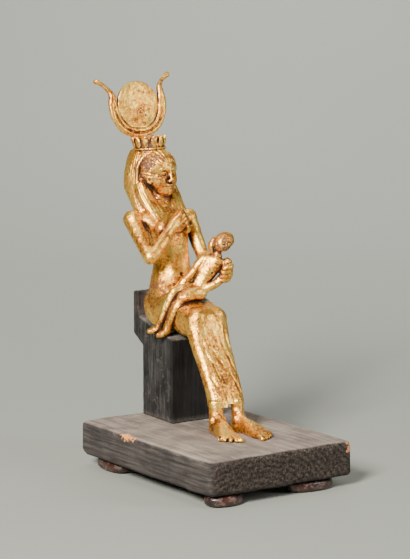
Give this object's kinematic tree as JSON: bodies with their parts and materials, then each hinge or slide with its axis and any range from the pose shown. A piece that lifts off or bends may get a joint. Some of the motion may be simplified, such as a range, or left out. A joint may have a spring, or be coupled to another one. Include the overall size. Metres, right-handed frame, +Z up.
{
  "type": "seated goddess and child statuette",
  "caption": "Gilded bronze seated mother goddess with a child on her lap and a crown of horns and disk, on a dark wooden throne and board.",
  "frame": {"origin": "middle of the object's bounding box in plan, on the plane of the pads' undersides", "axes": "+Z up, the figure faces -Y, and her right side is on -X"},
  "size_m": [0.084, 0.131, 0.1983],
  "materials": {
    "gilded_bronze": "worn gilding over brown bronze, soft shine",
    "throne_wood": "charcoal black, dry and cracked",
    "board_wood": "grey brown, dusty and worn",
    "pad_resin": "dark red-brown, slightly glossy"
  },
  "bodies": {
    "root": {"isis_and_horus": "gilded_bronze", "throne": "throne_wood", "base_board": "board_wood", "foot_pad_front_right": "pad_resin", "foot_pad_front_left": "pad_resin", "foot_pad_rear_right": "pad_resin", "foot_pad_rear_left": "pad_resin"}
  },
  "joints": []
}
